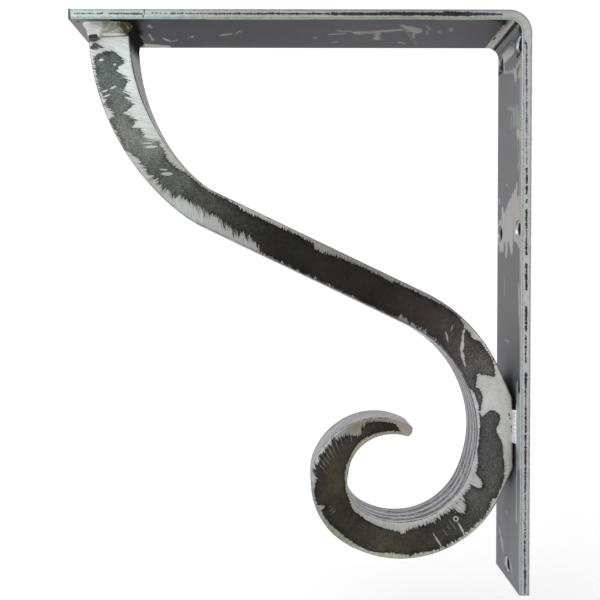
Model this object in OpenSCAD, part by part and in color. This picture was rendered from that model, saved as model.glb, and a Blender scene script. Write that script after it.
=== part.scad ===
// Countertop corbel: a steel flat bar bent to a right angle, braced by a tapering S-scroll.
// The scroll is butted under the arm and welded all round, and welded to the leg where its curl meets it.
//
// Axes: +X points into the wall, +Z points up, and the corbel is symmetric about the plane Y = 0.
// Origin: on the wall face of the leg, at the centre of the four upper screw holes.

/* [Flat bar] */
// Reach of the arm from the wall face to its free end
arm_reach = 279.4; // [220:0.1:340]
// Height of the leg from the arm's top face to its lower end
leg_height = 355.6; // [296:0.1:430]
// Width of the bar
bar_w = 50.8; // [42:0.1:64]
// Thickness of the bar
bar_t = 6.35; // [5:0.05:8]
// Radius of the bar's rolled corners
bar_corner_r = 0.6; // [0.3:0.1:1.5]
// Inside radius of the bend
bend_r = 7.5; // [6:0.1:12]

/* [Screw holes] */
// Radius of the screw holes
screw_r = 2.75; // [2:0.05:3.2]
// Radius of the countersinks at the leg's inner face
sink_r = 5.5; // [4.5:0.1:5.8]
// Included angle of the countersinks
sink_angle = 82; // [80:1:100]
// From each long edge of the bar to the paired holes
screw_edge = 6.35; // [6.2:0.05:12]
// From the arm's top face down to the upper pair
upper_pair_drop = 19.05; // [18:0.05:30]
// From the upper pair down to the middle pair
pair_spacing = 112.7; // [90:0.1:136]
// From the leg's lower end up to the single foot hole
foot_hole_rise = 9.5; // [7:0.1:16]

/* [Scroll] */
// Thickness of the scroll, across the bar
scroll_t = 28.6; // [22:0.1:35]
// Width of the scroll at its head, under the arm
head_w = 25.6; // [22:0.1:30]
// Width of the scroll along its diagonal and in the eye of its curl
strip_w = 22.8; // [18:0.1:28]
// Width of the scroll where its shoulder runs out into the curl
curl_w = 23.9; // [18:0.1:28]
// Width of the scroll where its tip begins to round off
tip_w = 6.8; // [5:0.1:12]
// Length of the rounded nose at the tip
nose_l = 2.3; // [2:0.1:6]
// Radius of the ground edges
scroll_edge_r = 1.1; // [0.5:0.1:2]
// From the arm's free end to the centre of the scroll's head
head_inset = 21.2; // [18:0.1:40]
// From the leg's lower end up to the lowest point of the curl
curl_rise = 17.8; // [8:0.1:40]
// Centre-line radius of the arc below the head
head_arc_r = 136; // [110:1:165]
// Turn of the arc below the head, in degrees
head_arc_turn = 51.5; // [44:0.5:54]
// Centre-line radius of the knee between that arc and the diagonal
knee_r = 40; // [30:1:80]
// Centre-line radius of the shoulder that carries the diagonal round into the curl
shoulder_r = 86; // [72:1:96]
// Slope of the centre line where the shoulder ends, in degrees below the horizontal
shoulder_end = 112; // [105:1:125]
// Turn either side of its upright tangent over which the shoulder's outer side is left square, in degrees
pad_turn = 25; // [16:0.5:28]
// Centre-line radius round the bottom of the curl
curl_r = 56.5; // [48:0.5:64]
// Turn round the bottom of the curl, in degrees
curl_turn = 97.5; // [80:0.5:110]
// Centre-line radius of the eye of the curl, before it narrows
eye_r = 33.6; // [29:0.1:41]
// Turn of the eye before it narrows, in degrees
eye_turn = 75; // [50:1:90]
// Centre-line radius of the narrowing end
tip_r = 35.6; // [30:0.1:42]
// Turn of the narrowing end, in degrees
tip_turn = 99; // [60:1:115]

/* [Welds] */
// Depth of the ground fillet under the arm
head_weld_drop = 6.8; // [3:0.1:9]
// Reach of that fillet along the arm, ahead of and behind the scroll's narrow sides
head_weld_side = 2.5; // [1:0.1:4]
// Strip of bar left bare between that fillet and each long edge of the bar
head_weld_margin = 3.6; // [2:0.1:5]
// Thin edge that each weld keeps where it dies out
weld_lip = 0.3; // [0.2:0.05:0.5]
// Gap between the curl and the leg, filled by the leg welds
leg_gap = 0.7; // [0.5:0.1:3]
// Height of the leg welds
leg_weld_h = 20.5; // [12:0.5:30]
// Rise of the middle of the leg welds above the shoulder's upright tangent
leg_weld_rise = 4.5; // [0:0.5:8]
// Depth that the leg welds fill the gap, in from the scroll's faces
leg_weld_in = 4; // [2.5:0.1:8]
// Strip of bar left bare between the leg welds and each long edge of the bar
leg_weld_margin = 6.5; // [4:0.1:6.8]

/* [Fineness] */
// Largest turn between two cross-sections of the scroll, in degrees
ring_step = 3; // [2:0.5:6]
// Facets on each rounded edge of the scroll
edge_facets = 4; // [2:1:6]
// Facets on each weld fillet
weld_facets = 8; // [4:1:12]
// Facets on round holes and rolled corners
round_fn = 48; // [24:4:96]

/* [Hidden] */

bend_out = bend_r + bar_t;
top_z = upper_pair_drop + pair_spacing / 2;
pair_y = bar_w / 2 - screw_edge;
sink_depth = (sink_r - screw_r) / tan(sink_angle / 2);
overcut = 1;
nose_rings = 6;
nose_end = 0.96;

// Below, a point of the scroll's plane is [x, z], with z = 0 at the arm's top face,
// and a pose is [x, z, heading], with the heading in degrees from +X towards +Z.
function left_of(h) = [-sin(h), cos(h)];

// The scroll's centre line: two arcs turning left from the head, the straight diagonal,
// then arcs turning right round the shoulder and the curl. The diagonal is the common
// tangent of the knee and the shoulder, so both ends of the scroll stay on the bar.
head_x = head_inset - arm_reach;
head_arc_end = head_arc_turn - 90;
head_arc_centre = [head_x + head_arc_r, -bar_t];
knee_centre = head_arc_centre - (head_arc_r - knee_r) * left_of(head_arc_end);
curl_centre_z = curl_rise - leg_height + curl_r + curl_w / 2;
shoulder_centre = [
    -bar_t - leg_gap - strip_w / 2 - shoulder_r,
    curl_centre_z - (shoulder_r - curl_r) * left_of(-shoulder_end)[1]
];
reach = shoulder_centre - knee_centre;
radii = knee_r + shoulder_r;
diagonal_l = sqrt(reach * reach - radii * radii);
diagonal_heading = atan2(reach[1], reach[0]) + atan2(radii, diagonal_l);

// Turns from the upright tangent up and down to the ends of the leg welds, in degrees
shoulder_outer_r = shoulder_r + strip_w / 2;
weld_up = atan((leg_weld_h / 2 + leg_weld_rise) / shoulder_outer_r);
weld_down = atan((leg_weld_h / 2 - leg_weld_rise) / shoulder_outer_r);
// Turn of the head arc down to the lower edge of the head weld, in degrees
collar_turn = head_weld_drop / head_arc_r * 180 / PI;

// Each run of the centre line: [signed radius, turn in degrees, width at its start, width at
// its end]. A radius above zero turns left, below zero turns right, and a straight has
// radius 0 and its length in place of the turn.
collar_w = head_w + (strip_w - head_w) * collar_turn / head_arc_turn;
runs = [
    [head_arc_r, collar_turn, head_w, collar_w],
    [head_arc_r, head_arc_turn - collar_turn, collar_w, strip_w],
    [knee_r, diagonal_heading - head_arc_end, strip_w, strip_w],
    [0, diagonal_l, strip_w, strip_w],
    [-shoulder_r, 90 - weld_up + diagonal_heading, strip_w, strip_w],
    [-shoulder_r, weld_up + weld_down, strip_w, strip_w],
    [-shoulder_r, shoulder_end - 90 - weld_down, strip_w, curl_w],
    [-curl_r, curl_turn, curl_w, strip_w],
    [-eye_r, eye_turn, strip_w, strip_w],
    [-tip_r, tip_turn, strip_w, tip_w]
];
weld_run = 5;

// Pose reached from pose p along a run of signed radius r, after a turn (or a length) of a
function moved(p, r, a) =
    r == 0
        ? [p[0] + a * cos(p[2]), p[1] + a * sin(p[2]), p[2]]
        : let (
              h = p[2] + sign(r) * a,
              c = [p[0], p[1]] + r * left_of(p[2]),
              q = c - r * left_of(h)
          ) [q[0], q[1], h];

// Pose at the start of run i
function run_start(i) =
    i == 0 ? [head_x, -bar_t, -90] : moved(run_start(i - 1), runs[i - 1][0], runs[i - 1][1]);

function run_steps(i) = runs[i][0] == 0 ? 1 : ceil(runs[i][1] / ring_step);

// How far the outer side stands out from its round, at heading h of run i: the shoulder meets
// the leg on an upright flat, with a shorter flat above and below that runs back into the round
function pad(i, h) =
    let (turn = abs(h + 90))
    i < weld_run - 1 || turn > pad_turn
        ? 0
        : shoulder_outer_r * (1 / cos(min(turn, pad_turn - turn)) - 1);

// Station at fraction f of run i: [pose, width, thickness, pad]
function station(i, f) =
    let (pose = moved(run_start(i), runs[i][0], runs[i][1] * f))
    [pose, runs[i][2] + (runs[i][3] - runs[i][2]) * f, scroll_t, pad(i, pose[2])];

// Station at fraction f of the nose, which closes along an ellipse
function nose_station(f) =
    let (shrink = sqrt(1 - f * f))
    [
        moved(run_start(len(runs)), 0, nose_l * f),
        tip_w * shrink,
        scroll_t - 2 * scroll_edge_r * (1 - shrink),
        0
    ];

// Corners of a section as [side, face, angle]: its outline runs anticlockwise through them
corner_angles = [for (q = [0 : 3], k = [0 : edge_facets]) 90 * (q + k / edge_facets)];
corner_quarters = [for (q = [0 : 3], k = [0 : edge_facets]) q];
side_sign = [1, -1, -1, 1];
face_sign = [1, 1, -1, -1];
outline_n = len(corner_angles);

// Point k of a station's rounded section, in [offset to the left, y], grown by a side and a
// face allowance
function section_point(s, k, side, face) =
    let (
        r = min(scroll_edge_r, 0.48 * s[1]),
        q = corner_quarters[k],
        a = corner_angles[k]
    )
    [
        side_sign[q] * (s[1] / 2 - r) + max(side_sign[q], 0) * s[3] + (r + side) * cos(a),
        face_sign[q] * (s[2] / 2 - r) + (r + face) * sin(a)
    ];

// A point [offset to the left, y] of a pose's cross-plane, in the corbel's own axes
function in_space(p, v) =
    let (n = left_of(p[2]))
    [p[0] + v[0] * n[0], v[1], p[1] + v[0] * n[1] + top_z];

function ring(s, side = 0, face = 0) =
    [for (k = [0 : outline_n - 1]) in_space(s[0], section_point(s, k, side, face))];

// Triangles of a skin that joins m rings of n points, as a tube
function tube_faces(m, n) = [
    for (i = [0 : m - 2], k = [0 : n - 1])
        let (a = i * n + k, b = i * n + (k + 1) % n)
        each [[a, b, b + n], [a, b + n, a + n]]
];

// A solid with a flat cap at each end, from rings of the same number of points
module capped_sweep(rings) {
    m = len(rings);
    n = len(rings[0]);
    polyhedron(
        points = [for (r = rings) each r],
        faces = concat(
            tube_faces(m, n),
            [[for (k = [n - 1 : -1 : 0]) k]],
            [[for (k = [0 : n - 1]) (m - 1) * n + k]]
        ),
        convexity = 10
    );
}

// A solid whose rings close on themselves, from rings of the same number of points
module looped_sweep(rings) {
    m = len(rings);
    n = len(rings[0]);
    count = m * n;
    polyhedron(
        points = [for (r = rings) each r],
        faces = concat(
            tube_faces(m, n),
            [
                for (k = [0 : n - 1])
                    let (a = (m - 1) * n + k, b = (m - 1) * n + (k + 1) % n)
                    each [[a, b, (b + n) % count], [a, (b + n) % count, (a + n) % count]]
            ]
        ),
        convexity = 10
    );
}

// Section of the flat bar: across its thickness along x, across its width along y
module bar_section() {
    square([bar_t, bar_w - 2 * bar_corner_r], center = true);
    square([bar_t - 2 * bar_corner_r, bar_w], center = true);
    for (x = [-1, 1], y = [-1, 1])
        translate([x * (bar_t / 2 - bar_corner_r), y * (bar_w / 2 - bar_corner_r)])
            circle(r = bar_corner_r, $fn = round_fn);
}

// A countersunk hole along X, through the leg, with its countersink on the leg's inner face
module screw_hole(y, z) {
    translate([0, y, z])
        rotate([0, -90, 0]) {
            translate([0, 0, -overcut])
                cylinder(h = bar_t + 2 * overcut, r = screw_r, $fn = round_fn);
            translate([0, 0, bar_t - sink_depth])
                cylinder(h = sink_depth, r1 = screw_r, r2 = sink_r, $fn = round_fn);
            translate([0, 0, bar_t])
                cylinder(h = overcut, r = sink_r, $fn = round_fn);
        }
}

// The bar: arm, bend and leg in one piece, with five screw holes in the leg
module flat_bar() {
    color("#8b8d8a")
        difference() {
            translate([0, 0, top_z]) {
                translate([-bend_out, 0, -bar_t / 2])
                    rotate([0, -90, 0])
                        linear_extrude(height = arm_reach - bend_out)
                            bar_section();
                translate([-bend_out, 0, -bend_out])
                    rotate([90, 0, 0])
                        rotate_extrude(angle = 90, $fn = 2 * round_fn)
                            translate([bend_r + bar_t / 2, 0])
                                bar_section();
                translate([-bar_t / 2, 0, -leg_height])
                    linear_extrude(height = leg_height - bend_out)
                        bar_section();
            }
            for (y = [-1, 1], z = [-1, 1])
                screw_hole(y * pair_y, z * pair_spacing / 2);
            screw_hole(0, top_z - leg_height + foot_hole_rise);
        }
}

// The scroll: one tapering S with ground edges, square at its head and rounded at its tip
module scroll() {
    color("#6f726d")
        capped_sweep(concat(
            [ring(station(0, 0))],
            [
                for (i = [0 : len(runs) - 1], k = [1 : run_steps(i)])
                    ring(station(i, k / run_steps(i)))
            ],
            [for (k = [1 : nose_rings]) ring(nose_station(nose_end * sin(90 * k / nose_rings)))]
        ));
}

// The weld round the scroll's head: a hollow ground fillet that dies out down the scroll
module head_weld() {
    face_leg = (bar_w - scroll_t) / 2 - head_weld_margin;
    outer = [
        for (k = [0 : weld_facets])
            let (a = 90 * k / weld_facets)
            ring(
                station(0, (weld_lip + (head_weld_drop - weld_lip) * (1 - cos(a))) / head_weld_drop),
                head_weld_side - (head_weld_side - weld_lip) * sin(a),
                face_leg - (face_leg - weld_lip) * sin(a)
            )
    ];
    color("#c4c8c2")
        looped_sweep(concat(
            [ring(station(0, 1)), ring(station(0, 0))],
            [ring(station(0, 0), head_weld_side, face_leg)],
            outer
        ));
}

// Section of a leg weld at station s: it follows the scroll's rounded front edge, hollows out
// to its toe on the leg, and fills the gap behind
function leg_weld_section(s) =
    let (
        n_leg = (-bar_t - s[0][0]) / left_of(s[0][2])[0],
        face_y = -scroll_t / 2,
        toe_y = leg_weld_margin - bar_w / 2,
        side_n = s[1] / 2 + s[3],
        edge_n = side_n - scroll_edge_r,
        first = 3 * (edge_facets + 1)
    )
    [
        [n_leg, face_y + leg_weld_in],
        [side_n, face_y + leg_weld_in],
        for (k = [edge_facets : -1 : 0]) section_point(s, first + k, 0, 0),
        for (k = [1 : weld_facets - 1])
            let (a = 90 * k / weld_facets)
            [
                edge_n + (n_leg - edge_n) * (1 - cos(a)),
                face_y + (toe_y - face_y) * sin(a)
            ],
        [n_leg, toe_y]
    ];

module leg_weld() {
    steps = run_steps(weld_run);
    capped_sweep([
        for (k = [0 : steps])
            let (s = station(weld_run, k / steps))
            [for (v = leg_weld_section(s)) in_space(s[0], v)]
    ]);
}

module leg_weld_front() {
    color("#d6dad6")
        leg_weld();
}

module leg_weld_rear() {
    color("#d6dad6")
        mirror([0, 1, 0])
            leg_weld();
}

flat_bar();
scroll();
head_weld();
leg_weld_front();
leg_weld_rear();
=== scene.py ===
"""Looks of the countertop corbel: raw, partly ground steel, on a plain white stage.

Lengths in this script are millimetres in the corbel's own frame, and become metres where a mesh,
a lamp or the camera is made. The scroll's centre line follows the same tangent arcs as the CAD.
"""
import math

import bpy
import numpy as np
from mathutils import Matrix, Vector


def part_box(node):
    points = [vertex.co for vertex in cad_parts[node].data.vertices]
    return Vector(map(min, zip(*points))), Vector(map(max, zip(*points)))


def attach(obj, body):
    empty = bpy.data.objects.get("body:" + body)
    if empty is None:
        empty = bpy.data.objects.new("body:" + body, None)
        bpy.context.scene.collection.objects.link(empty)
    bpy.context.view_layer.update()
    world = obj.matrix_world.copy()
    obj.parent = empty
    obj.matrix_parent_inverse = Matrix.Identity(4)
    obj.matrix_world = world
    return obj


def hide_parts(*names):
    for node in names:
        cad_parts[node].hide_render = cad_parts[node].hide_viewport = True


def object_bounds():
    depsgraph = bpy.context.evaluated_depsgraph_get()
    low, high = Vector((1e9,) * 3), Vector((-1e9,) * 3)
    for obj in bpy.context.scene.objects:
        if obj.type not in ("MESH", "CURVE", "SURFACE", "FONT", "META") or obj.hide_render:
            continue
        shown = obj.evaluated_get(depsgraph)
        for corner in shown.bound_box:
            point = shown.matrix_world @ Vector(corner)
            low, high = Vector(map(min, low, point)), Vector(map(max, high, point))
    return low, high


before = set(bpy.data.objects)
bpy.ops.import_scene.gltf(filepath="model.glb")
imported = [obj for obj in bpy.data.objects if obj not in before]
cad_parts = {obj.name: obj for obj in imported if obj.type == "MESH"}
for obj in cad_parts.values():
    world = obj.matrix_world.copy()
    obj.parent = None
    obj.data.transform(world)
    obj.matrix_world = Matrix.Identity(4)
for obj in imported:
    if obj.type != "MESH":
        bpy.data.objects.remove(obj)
cad_lo, cad_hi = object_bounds()

MM = 0.001
bar_lo, bar_hi = (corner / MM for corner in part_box("flat_bar"))
scroll_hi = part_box("scroll")[1] / MM

# The bar, measured on the frame
ARM_END_X = bar_lo.x
TOP_Z = bar_hi.z
FOOT_Z = bar_lo.z
HALF_BAR_W = bar_hi.y
BAR_T = 6.35
BEND_IN = 7.5
BEND_OUT = BEND_IN + BAR_T

# The scroll's sizes, as in the CAD
HALF_T = scroll_hi.y
HEAD_INSET = 21.2
HEAD_W, STRIP_W, CURL_W, TIP_W = 25.6, 22.8, 23.9, 6.8
NOSE_L, NOSE_END = 2.3, 0.96
CURL_RISE, LEG_GAP = 17.8, 0.7
HEAD_ARC_R, HEAD_ARC_TURN = 136.0, 51.5
KNEE_R = 40.0
SHOULDER_R, SHOULDER_END = 86.0, 112.0
PAD_TURN = math.radians(25)
CURL_R, CURL_TURN = 56.5, 97.5
EYE_R, EYE_TURN = 33.6, 75.0
TIP_R, TIP_TURN = 35.6, 99.0
EDGE_R = 1.1

# The welds, as in the CAD
HEAD_WELD_DROP, HEAD_WELD_SIDE, HEAD_WELD_MARGIN = 6.8, 2.5, 3.6
WELD_LIP = 0.3
LEG_WELD_H, LEG_WELD_RISE, LEG_WELD_IN, LEG_WELD_MARGIN = 20.5, 4.5, 4.0, 6.5


def rgb(r, g, b):
    """A colour given as it shows on screen, 0 to 255, in linear light with full alpha."""
    def linear(c):
        c /= 255
        return c / 12.92 if c <= 0.04045 else ((c + 0.055) / 1.055) ** 2.4
    return (linear(r), linear(g), linear(b), 1.0)


# ---------------------------------------------------------------- the scroll's centre line

def left_of(h):
    return np.array([-math.sin(h), math.cos(h)])


def scroll_runs():
    """Each run of the centre line: signed radius, turn in radians (or length), widths at its ends."""
    head_end = math.radians(HEAD_ARC_TURN - 90)
    head_centre = np.array([ARM_END_X + HEAD_INSET + HEAD_ARC_R, TOP_Z - BAR_T])
    knee_centre = head_centre - (HEAD_ARC_R - KNEE_R) * left_of(head_end)
    curl_centre_z = FOOT_Z + CURL_RISE + CURL_R + CURL_W / 2
    shoulder_x = -BAR_T - LEG_GAP - STRIP_W / 2 - SHOULDER_R
    shoulder_lift = (SHOULDER_R - CURL_R) * left_of(-math.radians(SHOULDER_END))[1]
    reach = np.array([shoulder_x, curl_centre_z - shoulder_lift]) - knee_centre
    radii = KNEE_R + SHOULDER_R
    diagonal_l = math.sqrt(reach @ reach - radii * radii)
    heading = math.atan2(reach[1], reach[0]) + math.atan2(radii, diagonal_l)
    return [
        (HEAD_ARC_R, math.radians(HEAD_ARC_TURN), HEAD_W, STRIP_W),
        (KNEE_R, heading - head_end, STRIP_W, STRIP_W),
        (0, diagonal_l, STRIP_W, STRIP_W),
        (-SHOULDER_R, math.radians(90) + heading, STRIP_W, STRIP_W),
        (-SHOULDER_R, math.radians(SHOULDER_END - 90), STRIP_W, CURL_W),
        (-CURL_R, math.radians(CURL_TURN), CURL_W, STRIP_W),
        (-EYE_R, math.radians(EYE_TURN), STRIP_W, STRIP_W),
        (-TIP_R, math.radians(TIP_TURN), STRIP_W, TIP_W),
        (0, NOSE_L * NOSE_END, TIP_W, TIP_W),
    ]


def run_length(run):
    return abs(run[0]) * run[1] if run[0] else run[1]


def moved(point, h, r, a):
    """Point and heading reached along a run of signed radius r, after a turn (or a length) of a."""
    if r == 0:
        return point + a * np.array([math.cos(h), math.sin(h)]), h
    turned = h + math.copysign(a, r)
    return point + r * left_of(h) - r * left_of(turned), turned


class Path:
    """The scroll's centre line, asked for by the distance s from its head."""

    def __init__(self):
        point, h, s = np.array([ARM_END_X + HEAD_INSET, TOP_Z - BAR_T]), -math.pi / 2, 0.0
        self.starts = []
        for run in scroll_runs():
            self.starts.append((s, point, h, run))
            point, h = moved(point, h, run[0], run[1])
            s += run_length(run)
        self.length = s

    def at(self, s):
        """Point, heading, width and thickness shrink of the section at s."""
        start, point, h, run = [q for q in self.starts if q[0] <= max(s, 0)][-1]
        along = max(s, 0) - start
        point, h = moved(point, h, run[0], along / abs(run[0]) if run[0] else along)
        width = run[2] + (run[3] - run[2]) * along / run_length(run)
        nose = max(0.0, (s - (self.length - NOSE_L * NOSE_END)) / NOSE_L)
        close = math.sqrt(1 - nose * nose)
        return point, h, width * close, close

    def pad(self, s):
        """How far the shoulder's outer side stands out from its round, where it lands on the leg."""
        turn = abs(self.at(s)[1] + math.pi / 2)
        if s < self.starts[3][0] or turn > PAD_TURN:
            return 0.0
        return (SHOULDER_R + STRIP_W / 2) * (1 / math.cos(min(turn, PAD_TURN - turn)) - 1)


path = Path()


# ---------------------------------------------------------------- what the faces of the scroll show

# Edge of the dark mill scale on the scroll's front: (distance from the head, offset to the left)
SCALE_UPPER = [
    (15.5, 1), (17, 4.2), (20, 6.5), (24.5, 8.3), (25.5, 4), (28, 3), (31, 5), (36.5, 8), (38, 5.5),
    (42, 3.3), (44, 5), (46, 4.5), (52, 5.6), (54, -1), (56, 0.7), (62.5, 3), (64.5, -1.2), (66, 2),
    (67.5, 4), (72.3, 5), (72.6, 2), (77, 5), (80, 8.7), (88, 8.8), (92.5, 6.7), (101, 7.5), (108, 10),
    (125, 10.4), (149, 10), (152, 8.5), (175, 8.8), (190, 9.5), (202, 8.6), (204, 6.8), (209.5, 5.8),
    (213, 7.2), (226, 8.4), (243, 9), (254, 8.5), (260, 9.4), (280, 9.2), (300, 10.5), (305, 8.9),
    (307, 7.6), (312, 8.2), (315, 7.3), (319, 9.5), (330, 10.2), (337, 8.5), (341, 6.7), (359.5, 0),
    (363, 3.8), (366, 3.7), (371, 1.2), (374, 1.3), (380, 4.5), (390, 7.2), (400, 10.2), (412, 10.2),
    (413, 8.2), (421, 10), (430, 9.3), (455, 9.6), (466, 8.3), (469.5, 10.5), (470, 9), (479, 7.6),
    (490, 9.6), (508, 7.5), (524, 9), (534, 10), (541, 7.8), (545, 10), (555, 8.8), (563, 6.5),
    (569, 4.5), (575, -1), (576.5, -1), (578.5, 0.4), (579.5, 3), (580.5, 2.4), (583, 4.7), (590, 3.6),
    (600, 2.2), (603.5, -1.5),
]
SCALE_LOWER = [
    (15.5, -4), (17, -10), (25, -11), (45, -10), (53.5, -8), (54.5, -11.3), (75, -11.3), (78, -9.3),
    (84, -7.7), (96, -7.7), (107, -6.5), (114, -6), (115, -3.2), (130, -2), (134, -3.5), (141, -2.2),
    (148, -5), (157, -6.3), (160, -4.5), (162, -6.3), (164, -4.3), (168, -6.5), (169.5, -6), (171, -8),
    (172.5, -8.6), (174, -10.7), (210, -10.8), (212.5, -9.3), (214, -10.8), (268, -10.9), (270.5, -7.7),
    (277, -10), (300, -10.8), (306, -11.4), (342, -11.4), (343, -9.2), (356, -8.7), (380, -10.2),
    (386, -10.5), (397, -8), (450, -8.3), (468, -7.6), (474, -4.2), (475.5, -6), (490, -7.3), (508, -9),
    (512, -8.2), (524, -10.3), (540, -10), (560, -7.9), (575, -5), (601, -2.4), (603.5, -1.8),
]
# How ragged those edges are: (distance, millimetres at the upper edge, at the lower edge)
RAGGED = [
    (0, 0.6, 0.4), (16, 0.6, 0.6), (28, 0.8, 1.3), (40, 1.4, 1.5), (60, 1.4, 1.4), (75, 1.3, 0.6),
    (85, 0.7, 0.8), (95, 0.5, 1.7), (130, 0.5, 2.3), (164, 0.6, 2.2), (171, 0.6, 0.9), (205, 0.7, 0.9),
    (265, 0.6, 0.8), (272, 0.4, 1.1), (312, 0.35, 1.1), (320, 0.3, 0.3), (345, 0.4, 0.2),
    (362, 0.2, 0.2), (395, 0.2, 0.2), (412, 0.4, 0.4), (416, 0.9, 1.2), (423, 1.0, 0.7),
    (432, 0.9, 0.9), (445, 0.7, 1.6), (465, 0.6, 0.9), (480, 0.3, 0.3), (535, 0.3, 0.3),
    (550, 1.2, 0.3), (578, 1.7, 0.3), (587, 0.4, 0.3), (603, 0.3, 0.3),
]
# Slant of the grinder's marks: (distance, millimetres along the scroll for each one to the left)
SLANT = [(0, 0.3), (50, 0.8), (80, 0.8), (118, -0.6), (180, -0.6), (240, 0), (535, 0), (550, 0.6), (600, 0.6)]
# Ground patches that cut into the scale, and scale left standing in the ground rim
BARE_PATCHES = [
    [(343, 13), (341, 6.7), (338, 2), (334.7, -2.5), (342, -6.7), (345, -4.8), (349, -4.3), (353, -5.5),
     (357, -7.3), (361, -8.5), (363, -7.6), (361.5, -5), (359.5, -2.5), (359.5, 0), (361, 2.5), (363, 13)],
    [(402.6, -8.5), (404.4, -5), (406.4, -2.4), (408.6, -1.2), (410.5, -2), (411.4, -4.6), (411.6, -8.5)],
    [(524.4, 9.5), (526, 5), (527.6, 9.5)],
    [(421, -9), (424, -5.4), (427.6, -2.2), (430.4, -0.8), (431.6, -3), (432.6, -9)],
]
LEFT_PATCHES = [
    [(6, -5), (8.2, -6), (9, -9), (8.6, -12.5), (6, -12.5)],
    [(9.6, -8.5), (11.6, -5.4), (12.6, -3.6), (13.4, -4.4), (13.2, -11.6), (11, -11.2)],
]
# Pointed scratches through the scale: distance and offset at each end, and half width
SCRATCHES = [
    (307.5, 7.4, 309.4, 4, 0.75), (308.6, 5, 312.6, 0.8, 0.8), (311.4, 2, 317.6, -4.4, 1.15),
    (316, -3, 323.8, -6.4, 1.1), (322, -5.6, 327, -7, 0.6), (37.2, 0, 37.8, -4.6, 0.65),
    (38, -5.4, 38.2, -11, 0.5), (41, -5, 41.2, -11, 0.5), (43, -8, 43.2, -11.5, 0.5),
    (20, -4.4, 20, -7.6, 0.8), (24, 0.6, 24, 2.6, 0.6), (75.6, -0.6, 79.6, 6.4, 0.6),
    (78.2, -0.6, 83, 7.2, 0.85), (94.6, -1.4, 98.8, 3.2, 0.6), (97.4, -2.4, 102.8, 3.8, 1.15),
    (114, -0.4, 114.3, 0.6, 0.3), (70.4, 3, 72.2, 6.4, 0.5), (301, 4, 303, 0, 0.35),
    (300, -1.8, 306.6, -6, 0.6), (451.4, 10, 453.4, -1.4, 0.45), (437.7, 9.8, 436.4, 0.2, 0.6),
]
# Hairlines that only dull the scale, in the same measures
HAIRLINES = [
    (439.6, 4.6, 440.4, -4.4, 0.26), (442.8, 3.4, 443.4, -2.8, 0.24), (446, 4.8, 446.8, -1.8, 0.26),
    (449.4, 1.8, 450, -1.6, 0.2), (433, 3, 433.6, -3, 0.16), (520.6, 3.6, 521.4, 0.4, 0.22),
    (522.2, 4.6, 523, 0.4, 0.22), (524.2, 4, 524.8, 1.6, 0.18), (549.5, 9.4, 544.5, 1.6, 0.24),
    (552, 9.4, 547.4, 2, 0.22), (554.4, 9.2, 549.4, 0.8, 0.26), (557, 9, 552.4, 1.8, 0.24),
    (559.4, 8.8, 554, -0.4, 0.28), (562, 8.4, 557.4, 0.6, 0.24), (564.6, 8, 559.4, -1, 0.26),
    (568, 7.2, 563.6, 0, 0.22), (574, 5, 569.6, -2, 0.26),
]
# Black pits in the ground rim, beside the leg weld
PITS = [
    (363.4, 9.3, 364.2, 9.5, 0.5), (365.9, 9.6, 366.1, 9.9, 0.42), (370.6, 10.2, 371.2, 10.4, 0.55),
    (372.8, 10.4, 373.4, 10.5, 0.5), (331, 10.5, 331.8, 10.6, 0.45),
]
# A bare ring round a dot of scale: its middle, radius, and half width
KEYHOLE_AT, KEYHOLE_R, KEYHOLE_HALF = (436, -1.7), 1.35, 0.42

# Colours as they show, light included: the scale's lighter, bluer tones near the head are a painted sheen,
# and some tones on the lower scroll are raised as painted light where the lamps light it less:
# (distance, red, green, blue)
SCALE_TONES_WITH_SHEEN = [
    (20, 93, 99, 98), (32, 104, 111, 108), (61, 114, 118, 114), (74, 122, 127, 122),
    (86, 105, 110, 105), (95, 87, 93, 86), (110, 89, 92, 87), (121, 78, 80, 77), (137, 70, 70, 67),
    (149, 55, 55, 51), (180, 38, 37, 35), (195, 34, 34, 32), (210, 39, 37, 36), (253, 37, 34, 33),
    (281, 54, 48, 46), (306, 69, 65, 64), (322, 79, 77, 76), (348, 92, 91, 91), (369, 83, 82, 82),
    (419, 85, 84, 83), (431, 66, 66, 65), (462, 58, 56, 50), (487, 72, 68, 58), (506, 52, 50, 45),
    (545, 61, 56, 49), (565, 62, 57, 50), (590, 52, 48, 43),
]
GROUND_UPPER = [
    (0, 196, 200, 196), (29, 207, 216, 213), (59, 202, 207, 204), (69, 198, 203, 199),
    (87, 170, 173, 170), (155, 170, 171, 169), (180, 162, 162, 160), (208, 138, 137, 135),
    (246, 129, 128, 126), (271, 140, 138, 136), (300, 142, 140, 138), (316, 188, 186, 184),
    (371, 202, 203, 201), (390, 192, 192, 189), (437, 194, 194, 186), (460, 186, 185, 175),
    (479, 182, 182, 167), (493, 190, 190, 174), (508, 146, 148, 137), (537, 170, 171, 165),
    (553, 194, 194, 194), (576, 130, 127, 118), (605, 151, 146, 135),
]
GROUND_LOWER = [
    (0, 190, 193, 190), (46, 193, 197, 194), (90, 178, 182, 178), (105, 168, 171, 168),
    (120, 181, 184, 181), (140, 167, 170, 167), (164, 163, 163, 162), (210, 140, 138, 136),
    (273, 128, 123, 122), (313, 168, 166, 165), (352, 204, 204, 204), (387, 192, 192, 194),
    (435, 184, 184, 182), (490, 180, 180, 175), (512, 166, 164, 160), (552, 172, 167, 153),
    (580, 166, 163, 147), (605, 162, 157, 145),
]


def curve(pairs, s, column=1):
    """A given line of (distance, value, ...), read at the distances s."""
    pairs = np.array(pairs, dtype=float)
    return np.interp(s, pairs[:, 0], pairs[:, column])


def tones(rows, s):
    """Linear colours along the scroll, from rows of (distance, red, green, blue)."""
    linear = np.array([rgb(*row[1:])[:3] for row in rows])
    distances = [row[0] for row in rows]
    return np.stack([np.interp(s, distances, linear[:, k]) for k in range(3)], axis=-1)


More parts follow.
